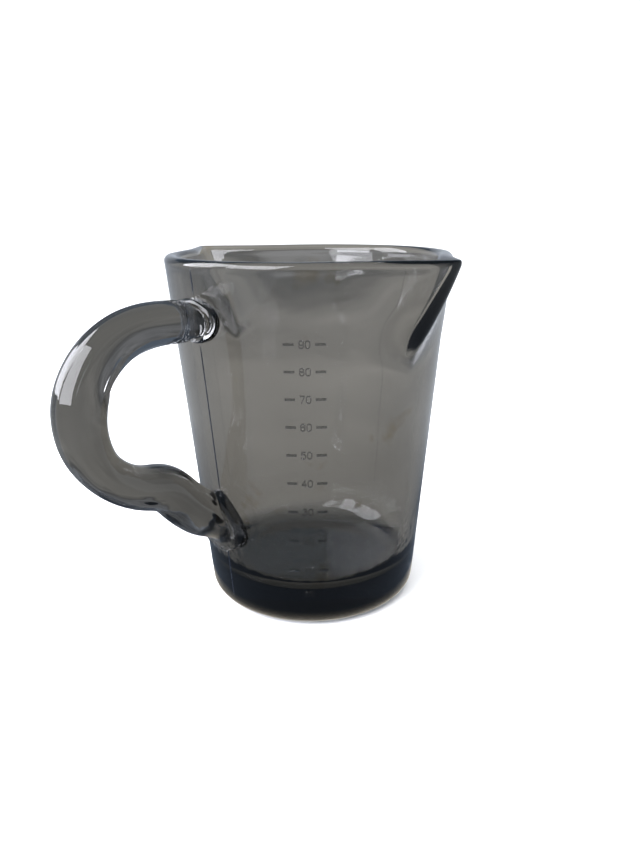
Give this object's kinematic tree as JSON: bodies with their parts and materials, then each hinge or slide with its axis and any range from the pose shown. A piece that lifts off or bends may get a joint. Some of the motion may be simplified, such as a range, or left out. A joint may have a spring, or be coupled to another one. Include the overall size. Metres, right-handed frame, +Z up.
{
  "type": "measuring jug",
  "caption": "Small smoky pressed-glass measuring jug with opposed pouring beaks, a curled loop handle and a raised millilitre scale.",
  "frame": {"origin": "centre of the flat underside, on the jug's axis", "axes": "+Z up along the jug's axis, the loop handle along -X, the pouring beaks along -Y and +Y"},
  "size_m": [0.0878, 0.0762, 0.0747],
  "materials": {
    "vessel_glass": "smoky grey pressed glass, clear and glossy",
    "handle_glass": "smoky grey fire-polished glass, clear and glossy",
    "mark_glass": "smoky grey pressed glass in low relief"
  },
  "bodies": {
    "root": {"vessel": "vessel_glass", "handle": "handle_glass", "graduation_bars": "mark_glass", "graduation_numerals": "mark_glass", "unit_mark": "mark_glass", "mould_seam_far_side": "vessel_glass", "mould_seam_handle_side": "vessel_glass"}
  },
  "joints": []
}
